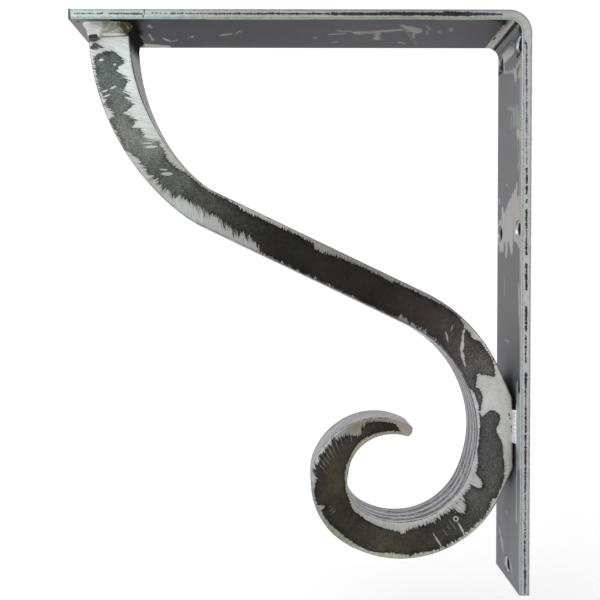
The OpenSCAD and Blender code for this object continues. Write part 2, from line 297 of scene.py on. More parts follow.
def to_segment(s, off, a, b):
    """Distance of each point from the segment between a and b."""
    a, b = np.array(a, dtype=float), np.array(b, dtype=float)
    along = ((s - a[0]) * (b - a)[0] + (off - a[1]) * (b - a)[1]) / max((b - a) @ (b - a), 1e-9)
    along = np.clip(along, 0, 1)
    return np.hypot(s - a[0] - along * (b - a)[0], off - a[1] - along * (b - a)[1])


def inside_polygon(s, off, corners):
    """Signed distance to a polygon's outline, above zero inside."""
    nearest = np.full(s.shape, 1e3)
    inside = np.zeros(s.shape, dtype=bool)
    for a, b in zip(corners, corners[1:] + corners[:1]):
        nearest = np.minimum(nearest, to_segment(s, off, a, b))
        if a[1] != b[1]:
            crosses = (a[1] > off) != (b[1] > off)
            inside ^= crosses & (s < a[0] + (off - a[1]) * (b[0] - a[0]) / (b[1] - a[1]))
    return np.where(inside, nearest, -nearest)


def front_scale(s, off):
    """How far inside the dark scale a point of the front lies, in millimetres."""
    depth = np.minimum(curve(SCALE_UPPER, s) - off, off - curve(SCALE_LOWER, s))
    depth = np.minimum(depth, np.minimum(s - SCALE_UPPER[0][0], SCALE_UPPER[-1][0] - s))
    for patch in BARE_PATCHES:
        depth = np.minimum(depth, -inside_polygon(s, off, patch))
    for patch in LEFT_PATCHES:
        depth = np.maximum(depth, inside_polygon(s, off, patch))
    return depth


# The back's ground rim, and the ground lengths at its head and its tip
BACK_RIM, BACK_HEAD, BACK_TIP = 2.2, 13, 8


def back_scale(s, off, half_w):
    """The same for the back, which keeps its scale nearly to its edges."""
    wander = 0.7 * np.sin(s / 11) + 0.5 * np.sin(s / 4.3 + 1) + 0.9 * np.sin(s / 37)
    depth = half_w - BACK_RIM + wander - np.abs(off + 0.8 * np.sin(s / 29 + 2))
    return np.minimum(depth, np.minimum(s - BACK_HEAD, path.length - BACK_TIP - s))


# ---------------------------------------------------------------- meshes

def new_object(name, verts, faces, material):
    """A smooth mesh object, from points in metres."""
    mesh = bpy.data.meshes.new(name)
    mesh.from_pydata([tuple(v) for v in verts], [], faces)
    mesh.polygons.foreach_set("use_smooth", [True] * len(faces))
    mesh.materials.append(material)
    thing = bpy.data.objects.new(name, mesh)
    bpy.context.scene.collection.objects.link(thing)
    return thing


def new_piece(name, verts, faces, material, node):
    """A mesh piece that stands for a CAD node, from points in millimetres."""
    piece = new_object(name, np.asarray(verts) * MM, faces, material)
    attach(piece, "root")
    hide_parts(node)
    return piece


def ring_piece(name, rings, material, node, closed=False, mirrored=False):
    """A piece over rings of points: a tube with capped ends, or a closed loop of rings.

    Its faces look outward, also where the rings are mirrored."""
    count, around = len(rings), len(rings[0])
    faces = [
        (i * around + k, (i + 1) % count * around + k,
         (i + 1) % count * around + (k + 1) % around, i * around + (k + 1) % around)
        for i in range(count if closed else count - 1) for k in range(around)
    ]
    if not closed:
        faces += [tuple(range(around)), tuple(range(count * around - 1, (count - 1) * around - 1, -1))]
    if mirrored:
        faces = [face[::-1] for face in faces]
    return new_piece(name, [v for ring in rings for v in ring], faces, material, node)


def put_attribute(mesh, name, values, kind="FLOAT"):
    attribute = mesh.attributes.new(name, kind, "POINT")
    field = {"FLOAT": "value", "FLOAT_COLOR": "color", "FLOAT_VECTOR": "vector"}[kind]
    attribute.data.foreach_set(field, np.ascontiguousarray(values, dtype=np.float32).ravel())


# The scroll's own mesh: points on each stretch of its section, and the step between sections
FACE_POINTS, BACK_POINTS, SIDE_POINTS, CORNER_POINTS = 30, 22, 13, 4
RING_STEP, NOSE_STEP = 0.66, 0.12


def section(width, thick, radius, pad):
    """Outline of the strip, and how squarely each of its points faces the front or the back.

    The points are (offset to the left, y). The pad moves the left side out."""
    half_w, half_t = width / 2, thick / 2
    r = min(radius, 0.48 * width, 0.48 * thick)
    points, faceness = [], []

    def stretch(a, b, count, face):
        for f in np.linspace(0, 1, count + 2)[1:-1]:
            points.append((a[0] + (b[0] - a[0]) * f, a[1] + (b[1] - a[1]) * f))
            faceness.append(face)

    def corner(cx, cy, start):
        for k in range(CORNER_POINTS):
            a = start + math.pi / 2 * k / (CORNER_POINTS - 1)
            points.append((cx + r * math.cos(a), cy + r * math.sin(a)))
            faceness.append(abs(math.sin(a)))

    flat_w, flat_t, left_w = half_w - r, half_t - r, half_w - r + pad
    stretch((-half_w, flat_t), (-half_w, -flat_t), SIDE_POINTS, 0)
    corner(-flat_w, -flat_t, math.pi)
    stretch((-flat_w, -half_t), (left_w, -half_t), FACE_POINTS, 1)
    corner(left_w, -flat_t, 1.5 * math.pi)
    stretch((left_w + r, -flat_t), (left_w + r, flat_t), SIDE_POINTS, 0)
    corner(left_w, flat_t, 0)
    stretch((left_w, half_t), (-flat_w, half_t), BACK_POINTS, 1)
    corner(-flat_w, flat_t, math.pi / 2)
    return np.array(points), np.array(faceness)


def scroll_stations():
    tip = path.length - NOSE_L
    body = np.linspace(0, tip, round(tip / RING_STEP) + 1)
    nose = np.linspace(tip, path.length, round(NOSE_L / NOSE_STEP) + 1)[1:]
    return np.concatenate([body, nose])


def edge_radius(s):
    """The ground edges are a little rounder in some places than in others."""
    return EDGE_R * (1 + 0.14 * math.sin(s / 17) + 0.1 * math.sin(s / 7.3 + 2))


def placed(outline, point, h):
    """The points (offset to the left, y) of a section, set at a point of the centre line."""
    n = left_of(h)
    return [(point[0] + off * n[0], y, point[1] + off * n[1]) for off, y in outline]


def build_scroll(material):
    stations = scroll_stations()
    rings, offs, rounds, faceness, backs = [], [], [], [], []
    for s in stations:
        point, h, width, close = path.at(s)
        thick = 2 * HALF_T - 2 * EDGE_R * (1 - close)
        outline, face = section(width, thick, edge_radius(s), path.pad(s))
        rings.append(placed(outline, point, h))
        steps = np.hypot(*(np.roll(outline, -1, axis=0) - outline).T)
        rounds.append(np.concatenate([[0], np.cumsum(steps)[:-1]]))
        offs.append(outline[:, 0])
        faceness.append(face)
        backs.append(outline[:, 1] > 0)
    around = len(rings[0])
    piece = ring_piece("scroll_steel_strip", rings, material, "scroll")
    s = np.repeat(stations, around)
    off, face, back = np.concatenate(offs), np.concatenate(faceness), np.concatenate(backs)
    paint_scroll(piece.data, s, off, face, back, np.concatenate(rounds))
    map_scroll(piece.data, stations, np.array(rounds), around)


# Third measure of a spot that is not on the front, so that no stroke reaches it
OFF_FRONT = 100.0
# Width over which the upper edge's looks give way to the lower one's
UPPER_TO_LOWER = 8.0


def paint_scroll(mesh, s, off, face, back, across):
    """Writes what the material reads: depth inside the scale, raggedness, colours and grain."""
    stops = np.arange(0, path.length, 5)
    half_w = np.interp(s, stops, [path.at(stop)[2] / 2 for stop in stops])
    depth = np.where(back, back_scale(s, off, half_w), front_scale(s, off))
    upper = np.clip(off / UPPER_TO_LOWER + 0.5, 0, 1)
    ragged = curve(RAGGED, s, 1) * upper + curve(RAGGED, s, 2) * (1 - upper)
    ground = tones(GROUND_UPPER, s) * upper[:, None] + tones(GROUND_LOWER, s) * (1 - upper[:, None])
    alpha = np.ones((len(s), 1))
    grain = np.stack([s - curve(SLANT, s) * off, across, np.zeros_like(s)], axis=1)
    spot = np.stack([s, off, np.where(back, OFF_FRONT, 0.0)], axis=1)
    put_attribute(mesh, "scale_depth", depth)
    put_attribute(mesh, "ragged", ragged)
    put_attribute(mesh, "face", face)
    put_attribute(mesh, "scale_tone", np.hstack([tones(SCALE_TONES_WITH_SHEEN, s), alpha]), "FLOAT_COLOR")
    put_attribute(mesh, "ground_tone", np.hstack([ground, alpha]), "FLOAT_COLOR")
    put_attribute(mesh, "grain", grain, "FLOAT_VECTOR")
    put_attribute(mesh, "spot", spot, "FLOAT_VECTOR")


# The map made for baking the materials: the strip cut into rows, then the discs of its two ends
MAP_ROWS, MAP_ROW_H, MAP_SPARE = 2, 112.0, 1.02
END_DISC_R, END_DISCS = 0.02, ((0.02, 0.97), (0.32, 0.97))


def map_scroll(mesh, stations, rounds, around):
    """Lays the strip out in rows, one above the other."""
    row_l = path.length / MAP_ROWS
    size = max(row_l, MAP_ROWS * MAP_ROW_H) * MAP_SPARE
    ring_uv = np.concatenate([rounds, rounds[:, -1:] + 1.0], axis=1)
    corner_uv = []
    for i in range(len(stations) - 1):
        row = min(int(stations[i] / row_l), MAP_ROWS - 1)
        u = [(stations[i + j] - row * row_l) / size for j in (0, 1)]
        v = (ring_uv[i:i + 2] + row * MAP_ROW_H) / size
        for k in range(around):
            corner_uv += [(u[j], v[j][k + n]) for j, n in ((0, 0), (1, 0), (1, 1), (0, 1))]
    for middle_u, middle_v in END_DISCS:
        for k in range(around):
            a = k * math.tau / around
            corner_uv.append((middle_u + END_DISC_R * math.cos(a), middle_v + END_DISC_R * math.sin(a)))
    layer = mesh.uv_layers.new(name="OFBake")
    layer.data.foreach_set("uv", np.array(corner_uv, dtype=np.float32).ravel())


# The welds' own meshes: points on each corner, flat and hollow, and how uneven their surface is
WELD_CORNER_POINTS, WELD_FLAT_POINTS, WELD_FACETS = 9, 24, 18
LEG_WELD_RINGS = 45
GRIND_WAVE, BEAD_RIPPLE = 0.16, 0.12


def grown_section(s, side, face):
    """Outline of the scroll at s, grown by a side and a face allowance, in the corbel's own axes."""
    point, h, width, _ = path.at(s)
    flat_w, flat_t = width / 2 - EDGE_R, HALF_T - EDGE_R
    corners = [(flat_w, flat_t), (-flat_w, flat_t), (-flat_w, -flat_t), (flat_w, -flat_t)]

    def on_corner(index, share):
        a = math.pi / 2 * (index + share)
        cx, cy = corners[index % 4]
        return np.array([cx + (EDGE_R + side) * math.cos(a), cy + (EDGE_R + face) * math.sin(a)])

    outline = []
    for index in range(4):
        outline += [on_corner(index, k / (WELD_CORNER_POINTS - 1)) for k in range(WELD_CORNER_POINTS)]
        here, following = outline[-1], on_corner(index + 1, 0)
        outline += [here + (following - here) * f for f in np.linspace(0, 1, WELD_FLAT_POINTS + 2)[1:-1]]
    return placed(outline, point, h)


def build_head_weld(material):
    """The ground fillet round the scroll's head, with the shallow waves that a grinder leaves."""
    face_leg = HALF_BAR_W - HALF_T - HEAD_WELD_MARGIN
    rings = [grown_section(HEAD_WELD_DROP, 0, 0), grown_section(0, 0, 0)]
    rings.append(grown_section(0, HEAD_WELD_SIDE, face_leg))
    for k in range(WELD_FACETS + 1):
        a = math.pi / 2 * k / WELD_FACETS
        s = WELD_LIP + (HEAD_WELD_DROP - WELD_LIP) * (1 - math.cos(a))
        side = HEAD_WELD_SIDE - (HEAD_WELD_SIDE - WELD_LIP) * math.sin(a)
        face = face_leg - (face_leg - WELD_LIP) * math.sin(a)
        wave = GRIND_WAVE * math.sin(2 * a) ** 2
        ring = grown_section(s, side, face)
        rings.append([(x, y, z - wave * math.sin(x * 1.1 + 2 * math.sin(x / 3))) for x, y, z in ring])
    ring_piece("head_weld_fillet", rings, material, "head_weld", closed=True)


def leg_weld_section(s, ripple):
    """Outline of a leg weld: in along the leg and the curl, then back over the hollow, rippled face."""
    point, h, width, _ = path.at(s)
    to_leg = (-BAR_T - point[0]) / left_of(h)[0]
    toe_y = LEG_WELD_MARGIN - HALF_BAR_W
    side = width / 2 + path.pad(s)
    edge = side - EDGE_R
    outline = [(to_leg, LEG_WELD_IN - HALF_T), (side, LEG_WELD_IN - HALF_T)]
    for k in range(WELD_CORNER_POINTS):
        a = math.pi / 2 * k / (WELD_CORNER_POINTS - 1)
        outline.append((edge + EDGE_R * math.cos(a), -(HALF_T - EDGE_R) - EDGE_R * math.sin(a)))
    for k in range(1, WELD_FACETS):
        a = math.pi / 2 * k / WELD_FACETS
        bead = ripple * math.sin(2 * a)
        off = edge + (to_leg - edge) * (1 - math.cos(a))
        outline.append((off - bead, -HALF_T + (toe_y + HALF_T) * math.sin(a) - bead))
    outline.append((to_leg, toe_y))
    return placed(outline, point, h)


def build_leg_weld(name, node, mirror, material):
    """The weld between curl and leg: a hollow bead with ripples along it."""
    upright = path.starts[4][0]
    outer_r = SHOULDER_R + STRIP_W / 2
    top = upright - SHOULDER_R * math.atan((LEG_WELD_H / 2 + LEG_WELD_RISE) / outer_r)
    foot = upright + SHOULDER_R * math.atan((LEG_WELD_H / 2 - LEG_WELD_RISE) / outer_r)
    rings = []
    for k, s in enumerate(np.linspace(top, foot, LEG_WELD_RINGS)):
        swell = math.sin(math.pi * k / (LEG_WELD_RINGS - 1))
        ripple = BEAD_RIPPLE * (1 + math.sin(k * 1.15)) * swell
        rings.append([(x, mirror * y, z) for x, y, z in leg_weld_section(s, ripple)])
    ring_piece(name, rings, material, node, mirrored=mirror < 0)


# ---------------------------------------------------------------- materials

# Low for steel, so that soot and painted shade stay black
SPECULAR = 0.13
# Relief of a material whose height runs from zero to one
BUMP = 0.12


class Shader:
    """The nodes of a material or a world: sockets, numbers and colours go in, and sockets come out."""

    def __init__(self, owner):
        owner.use_nodes = True
        self.owner = owner
        self.tree = owner.node_tree

    def put(self, socket, value):
        if isinstance(value, bpy.types.NodeSocket):
            self.tree.links.new(value, socket)
        elif value is not None:
            socket.default_value = value

    def node(self, kind, *inputs, **settings):
        """A node with its inputs in order, where None leaves one as it is."""
        node = self.tree.nodes.new("ShaderNode" + kind)
        for key, value in settings.items():
            setattr(node, key, value)
        for socket, value in zip(node.inputs, inputs):
            self.put(socket, value)
        return node

    def math(self, operation, *inputs):
        return self.node("Math", *inputs, operation=operation).outputs[0]

    def chain(self, operation, first, others):
        for other in others:
            first = self.math(operation, first, other)
        return first

    def times(self, first, *others):
        return self.chain("MULTIPLY", first, others)

    def plus(self, first, *others):
        return self.chain("ADD", first, others)

    def highest(self, first, *others):
        return self.chain("MAXIMUM", first, others)

    def minus(self, a, b):
        return self.math("SUBTRACT", a, b)

    def gap(self, a, b):
        """How far a value lies from another, either way."""
        return self.math("ABSOLUTE", self.minus(a, b))

    def swing(self, value, low, high):
        """Stretches a value of 0 to 1 so that it runs from low to high."""
        return self.math("MULTIPLY_ADD", value, high - low, low)

    def vector(self, operation, *inputs):
        node = self.node("VectorMath", *inputs, operation=operation)
        return node.outputs[1 if operation in ("DOT_PRODUCT", "LENGTH", "DISTANCE") else 0]

    def scaled(self, vector, by):
        if not isinstance(vector, bpy.types.NodeSocket):
            vector = tuple(vector)[:3]
        return self.node("VectorMath", vector, None, None, by, operation="SCALE").outputs[0]

    def joined(self, x, y, z=0):
        return self.node("CombineXYZ", x, y, z).outputs[0]

    def parts(self, vector):
        return self.node("SeparateXYZ", vector).outputs[:3]

    def attribute(self, name):
        """A vertex attribute's outputs: as a colour, as a vector and as a number."""
        return self.node("Attribute", attribute_name=name).outputs

    def place(self):
        """Where a point lies in the corbel's own frame, in millimetres."""
        return self.scaled(self.node("TexCoord").outputs["Object"], 1 / MM)

    def noises(self, vector, scale, detail, roughness):
        """Noise as a number and as a colour."""
        return self.node("TexNoise", vector, None, scale, detail, roughness).outputs[:2]

    def noise(self, vector, scale, detail, roughness):
        return self.noises(vector, scale, detail, roughness)[0]

    def streaks(self, along, across, fine, long, detail, roughness):
        """Noise drawn out into streaks: changes per millimetre one way, and the other."""
        drawn_out = self.joined(self.times(along, fine), self.times(across, long))
        return self.noise(drawn_out, 1, detail, roughness)

    def smooth(self, value, low, high, out_low=0, out_high=1):
        node = self.node("MapRange", value, low, high, out_low, out_high, interpolation_type="SMOOTHSTEP")
        return node.outputs[0]

    def window(self, value, start, full, last, end):
        """One from full to last, easing in from start and out to end, and zero outside."""
        return self.times(self.smooth(value, start, full), self.smooth(value, end, last))

    def mix(self, factor, a, b):
        """Colour a, or b where the factor is one."""
        return self.node("Mix", factor, *[None] * 5, a, b, data_type="RGBA").outputs[2]

    def paint(self, under, colour, *masks):
        """A colour laid over another, as strongly as its masks multiplied."""
        return self.mix(self.times(*masks), under, colour)

    def blend(self, factor, a, b):
        """Number a, or b where the factor is one."""
        return self.node("Mix", factor, None, a, b, data_type="FLOAT").outputs[0]

    def ramp(self, factor, stops):
        """Colours along a value, from (place, colour) pairs."""
        node = self.node("ValToRGB", factor)
        elements = node.color_ramp.elements
        while len(elements) < len(stops):
            elements.new(0.5)
        for element, (place, colour) in zip(elements, stops):
            element.position = place
            element.color = colour
        return node.outputs[0]

    def stroke(self, where, a, b, half, pointed):
        """How far a place lies inside a stroke from a to b, above zero inside."""
        along = b - a
        from_a = self.vector("SUBTRACT", where, tuple(a))
        share = self.vector("DOT_PRODUCT", from_a, tuple(along / along.length_squared))
        share = self.node("Clamp", share).outputs[0]
        from_a = self.vector("SUBTRACT", from_a, self.scaled(tuple(along), share))
        if pointed:
            half = self.times(share, self.minus(1, share), 4 * half)
        return self.minus(half, self.vector("LENGTH", from_a))

    def strokes(self, where, rows, pointed=False):
        """The deepest that a place lies inside any of these strokes."""
        return self.highest(*[
            self.stroke(where, Vector((x0, y0, 0)), Vector((x1, y1, 0)), half, pointed)
            for x0, y0, x1, y1, half in rows
        ])

    def finish(self, colour, roughness, metallic, height):
        """Wires the metal's surface and returns the material."""
        surface = self.tree.nodes["Principled BSDF"].inputs
        self.put(surface["Base Color"], colour)
        self.put(surface["Roughness"], roughness)
        self.put(surface["Metallic"], metallic)
        self.put(surface["Specular IOR Level"], SPECULAR)
        bump = self.node("Bump")
        bump.inputs["Distance"].default_value = BUMP * MM
        self.put(bump.inputs["Height"], height)
        self.put(surface["Normal"], bump.outputs[0])
        return self.owner


def new_shader(name):
    return Shader(bpy.data.materials.new(name))


def cut_side(m, along, y):
    """How dark the lines are that the cut left along a side: a few strong, and finer ones between."""
    sway = m.swing(m.streaks(along, y, 0.02, 0.08, 4, 0.6), -4.5, 4.5)
    frayed = m.swing(m.streaks(along, y, 0.16, 1.6, 4, 0.75), -0.34, 0.34)

    def lines(spacing, shift, low, high):
        phase = m.math("FRACT", m.plus(m.times(y, 1 / spacing), m.times(sway, 1 / spacing), shift))
        return m.smooth(m.plus(m.gap(phase, 0.5), frayed), low, high)

    patchy = m.smooth(m.streaks(along, y, 0.035, 0.5, 4, 0.65), 0.38, 0.56, 0.35, 1)
    strong = lines(3.6, 0.1, 0.28, 0.4)
    fine = m.times(lines(1.7, 0.4, 0.36, 0.5), 0.6)
    wide = m.times(lines(7.4, 0.3, 0.34, 0.44), m.window(along, 285, 320, 500, 560))
    return m.highest(m.times(m.highest(strong, fine), patchy), wide)


def side_tone(m, along, y, cloud, soot_and_shade):
    """Colour of the scroll's flame-cut sides, and the depth of the lines on them."""
    lines = cut_side(m, along, y)
    dark = m.times(lines, m.smooth(along, 240, 345, 0.6, 1))
    tone = m.mix(dark, rgb(190, 190, 192), rgb(54, 52, 64))
    tone = m.paint(tone, rgb(124, 116, 146), m.smooth(y, 3, 13, 0, 0.4))
    grime = m.streaks(along, y, 0.5, 0.1, 4, 0.7)
    stained = m.streaks(along, y, 0.05, 0.9, 4, 0.7)
    tone = m.scaled(tone, m.times(m.swing(grime, 0.72, 1.28), m.swing(cloud, 0.85, 1.15)))
    near_head = m.smooth(along, 90, 30)
    tone = m.paint(tone, rgb(96, 88, 90), near_head, m.smooth(stained, 0.4, 0.62, 0.25, 0.75))
    # Painted shade and soot: the sides go black near the head, under the arm
    return m.paint(tone, rgb(15, 14, 15), soot_and_shade, 0.97), lines


def torn_edge(m, spot, along, across, position):
    """How far inside the scale a place lies once its edge is torn, without and with the scratches.

    The teeth that tore it come third."""
    depth, ragged = (m.attribute(name)[2] for name in ("scale_depth", "ragged"))
    teeth = m.smooth(m.streaks(along, across, 1, 0.06, 5, 0.75), 0.33, 0.67)
    bite = m.smooth(m.noise(m.joined(m.times(along, 0.13), 7), 1, 3, 0.55), 0.36, 0.62, 0.5, 1.6)
    crumbs = m.swing(m.noise(position, 1.2, 4, 0.75), -1.3, 1.3)
    crumbs = m.times(crumbs, m.smooth(ragged, 0.2, 0.7, 0.45, 1))
    inside = m.plus(depth, m.times(m.swing(teeth, -1.3, 1.3), ragged, bite), crumbs)
    shake = m.swing(m.noise(position, 1.1, 3, 0.7), -0.5, 0.5)
    scratched = m.plus(m.strokes(spot, SCRATCHES, pointed=True), shake)
    from_dot = m.vector("DISTANCE", spot, (*KEYHOLE_AT, 0))
    ring = m.minus(KEYHOLE_HALF, m.gap(from_dot, KEYHOLE_R))
    bare = m.times(m.highest(scratched, ring), -2.5)
    return inside, m.math("MINIMUM", inside, bare), teeth


def scale_look(m, inside, position, along, spot, cloud):
    """Mill scale: darkest just inside its edge, then mottled, pitted and specked; olive in the curl."""
    speck = m.noise(position, 1, 3, 0.8)
    band = m.window(inside, -0.1, 0.3, 0.5, 1.9)
    # A wide, patchy shadow inside the edge, as the scale thins towards it
    blotch = m.noise(position, 0.16, 4, 0.65)
    shadow = m.times(m.smooth(inside, 5.5, 1), m.smooth(blotch, 0.42, 0.62))
    # The scale is calmer along the diagonal and in the curl, and peppered with dots at the leg weld
    calm = m.highest(m.window(along, 178, 200, 286, 306), m.times(m.smooth(along, 440, 500), 0.8))
    pits = m.times(m.smooth(m.noise(position, 0.7, 2, 0.5), 0.38, 0.30), m.swing(calm, 1, 0.3))
    peppered = m.times(m.window(along, 300, 325, 360, 385), 0.05)
    dots = m.smooth(m.plus(m.noise(position, 1.5, 2, 0.6), peppered), 0.62, 0.72)
    grain = m.blend(calm, m.swing(speck, -0.35, 2.35), m.swing(speck, 0.45, 1.55))
    shade = m.times(m.swing(cloud, 0.4, 1.6), grain, m.swing(band, 1, 0.6), m.swing(shadow, 1, 0.62))
    shade = m.times(shade, m.swing(pits, 1, 0.6), m.swing(dots, 1, 1.8))
    curled = m.window(along, 440, 470, 580, 600)
    stained = m.times(curled, m.smooth(m.noise(position, 0.055, 3, 0.55), 0.46, 0.62))
    tone = m.paint(m.attribute("scale_tone")[0], rgb(78, 71, 56), stained, 0.5)
    tone = m.scaled(tone, shade)
    hair = m.smooth(m.strokes(spot, HAIRLINES, pointed=True), -0.14, 0.2)
    return m.paint(tone, rgb(172, 170, 166), hair, m.smooth(speck, 0.3, 0.6), 0.5), pits


def rim_look(m, inside, position, along, spot, cloud, marks, teeth):
    """Ground rims: streaks across them, softer and blotchy where they widen beside the leg weld."""
    blotch = m.noise(position, 0.45, 4, 0.7)
    soft_rim = m.window(along, 336, 348, 412, 430)
    haze = m.times(m.smooth(inside, -1.8, 0), m.smooth(teeth, 0.38, 0.62))
    soft_wear = m.times(m.swing(marks, 0.8, 1.2), m.swing(blotch, 0.7, 1.3))
    wear = m.blend(soft_rim, m.swing(marks, 0.4, 1.6), soft_wear)
    wear = m.times(wear, m.swing(cloud, 0.83, 1.17), m.swing(haze, 1, 0.7))
    tone = m.scaled(m.attribute("ground_tone")[0], wear)
    pitted = m.smooth(m.strokes(spot, PITS), -0.1, 0.2)
    return m.paint(tone, rgb(22, 22, 24), pitted, 0.95)


def corner_shade_line(m, along, y, corner):
    """Painted shade on the ground corners: a thin, broken dark line, stronger beside the head and in the
    shoulder.
    """
    strong = m.highest(m.smooth(along, 70, 50), m.window(along, 270, 290, 400, 440))
    ticks = m.streaks(along, y, 0.3, 0.05, 5, 0.8)
    broken = m.smooth(m.plus(ticks, m.times(strong, 0.08)), 0.44, 0.56)
    return m.times(corner, broken, m.swing(strong, 0.6, 0.8))


def scroll_material():
    """Mill scale on the faces, torn off in a ragged line by the grinder, and flame-cut sides."""
    m = new_shader("scroll_steel")
    along, across, _ = m.parts(m.attribute("grain")[1])
    spot = m.attribute("spot")[1]
    face = m.attribute("face")[2]
    position = m.place()
    _, y, _ = m.parts(position)
    cloud = m.noise(position, 0.075, 5, 0.62)
    marks = m.streaks(along, across, 1.7, 0.12, 4, 0.68)
    unscratched, inside, teeth = torn_edge(m, spot, along, across, position)
    on_face = m.smooth(face, 0.75, 0.98)
    scale = m.times(m.smooth(inside, -0.16, 0.2), on_face)
    scale_tone, pits = scale_look(m, unscratched, position, along, spot, cloud)
    rim_tone = rim_look(m, inside, position, along, spot, cloud, marks, teeth)
    # Painted shade and soot on the sides near the head, in the corner under the arm
    soot_and_shade_edge = m.plus(along, m.swing(m.noise(position, 0.5, 4, 0.7), -6, 6))
    soot_and_shade = m.smooth(soot_and_shade_edge, 13, 3.5)
    cut_tone, lines = side_tone(m, along, y, cloud, soot_and_shade)

    colour = m.mix(m.smooth(face, 0.15, 0.75), cut_tone, m.mix(scale, rim_tone, scale_tone))
    corner = m.window(face, 0.02, 0.3, 0.7, 0.97)
    # Painted shade: a thin dark line along the rounded corners
    colour = m.paint(colour, rgb(66, 65, 68), corner_shade_line(m, along, y, corner))
    sooty_and_shaded = m.times(soot_and_shade, m.smooth(face, 0.6, 0.1))
    roughness = m.blend(scale, m.plus(m.swing(marks, 0.28, 0.48), m.times(corner, 0.25)), 0.42)
    metallic = m.times(m.blend(scale, 0.9, 0.5), m.minus(1, sooty_and_shaded))
    height = m.plus(m.times(scale, 0.6), m.times(marks, 0.35), m.times(pits, scale, -0.5))
    height = m.minus(height, m.times(lines, m.minus(1, on_face)))
    return m.finish(colour, m.blend(sooty_and_shaded, roughness, 0.9), metallic, height)


# The bar is measured along its outer face, from the arm's end round the bend to the foot
ARM_L = -ARM_END_X - BEND_OUT
BEND_L = BEND_OUT * math.pi / 2
BAR_L = ARM_L + BEND_L + TOP_Z - FOOT_Z - BEND_OUT
LEG_START = ARM_L + BEND_L - BEND_OUT


def laid(to_run, rows):
    """Strokes as places on the bar, from rows of (measure, inward, measure, inward, half width).

    Inward is the distance in from the bar's front edge."""
    return [(to_run(a), in_a, to_run(b), in_b, half) for a, in_a, b, in_b, half in rows]


def on_arm(rows):
    """Strokes under the arm, measured by x, which is below zero in front of the wall."""
    return laid(lambda x: x - ARM_END_X, rows)


def on_bend(rows):
    """Strokes inside the bend, measured in degrees from the arm."""
    return laid(lambda degrees: ARM_L + BEND_L * degrees / 90, rows)


def on_leg(rows):
    """Strokes on the leg's inner face, measured down from the arm's top."""
    return laid(lambda down: LEG_START + down, rows)


# Colours along the bar, as they show, of its wide faces, its narrow edges and its split seam; the wide faces
# are darker under the arm than down the leg as painted shade: (distance, red, green, blue)
FACE_TONES_WITH_SHADE = [
    (0, 150, 146, 150), (18, 140, 137, 140), (40, 72, 71, 75), (60, 66, 66, 71), (130, 71, 71, 76),
    (180, 84, 84, 87), (240, 84, 84, 88), (271, 77, 78, 80), (276, 116, 116, 118), (300, 120, 120, 124),
    (500, 112, 112, 116), (530, 112, 112, 116), (548, 132, 132, 136), (620, 132, 132, 136),
]
EDGE_TONES = [
    (0, 180, 194, 189), (60, 174, 184, 179), (90, 166, 171, 163), (160, 160, 165, 157),
    (200, 150, 154, 147), (260, 160, 164, 158), (275, 172, 176, 172), (310, 176, 178, 178),
    (400, 176, 178, 178), (470, 184, 186, 186), (629, 184, 187, 186),
]
SEAM_TONES = [
    (0, 70, 84, 84), (88, 74, 84, 84), (110, 58, 64, 66), (190, 44, 42, 38), (235, 38, 36, 34),
    (245, 52, 56, 72), (330, 84, 80, 100), (372, 44, 37, 38), (425, 46, 36, 36), (460, 44, 31, 30),
    (480, 50, 46, 54), (620, 52, 55, 68),
]
# Split seam on the bar's front edge: distance and depth below the outer face at each end, and half width
SEAM = [
    (4, 3, 21, 3, 0.24), (24, 3, 34, 3.1, 0.4), (33, 3, 44, 3.2, 0.42), (45.5, 0.6, 45.9, 3, 0.4),
    (45.9, 3, 45.2, 5, 0.35), (50, 2.7, 62, 2.9, 0.12), (62, 2.9, 88, 3, 0.3), (88, 3, 160, 3, 0.5),
    (120, 2.6, 128, 2.9, 0.5), (158, 3, 190, 3, 0.85), (188, 2.8, 226, 3, 1.05),
    (226, 2.7, 241, 3, 1.35), (241, 3, 251, 2.9, 0.85), (250, 2.9, 256.5, 3, 0.7),
    (255, 3, 260.5, 3.1, 0.45), (292.5, 4.6, 295, 3.6, 0.4), (295, 3.6, 320, 3.5, 0.32),
    (320, 3.4, 345, 3.3, 0.26), (345, 3.3, 366, 3.2, 0.18), (369, 3.1, 378, 3.1, 0.6),
    (380, 3, 384, 3.1, 0.7), (388, 2.8, 389, 3.1, 0.55), (394, 3.1, 405, 3.1, 0.55),
    (406, 3, 416, 3, 0.4), (412, 3.1, 421, 3.1, 0.5), (427, 3.1, 442, 3, 0.6), (453, 3, 467, 3.1, 0.62),
    (470, 3.2, 486, 3.1, 0.42), (493, 3, 502, 3, 0.68), (502, 3.1, 511, 3, 0.38),
    (512, 3, 529, 3, 0.46), (526, 2.9, 529, 3, 0.75), (531, 3, 566, 3, 0.55), (566, 3, 594, 3, 0.3),
    (595, 3.2, 614, 3, 0.42), (614, 2.9, 627, 2.9, 0.62),
]
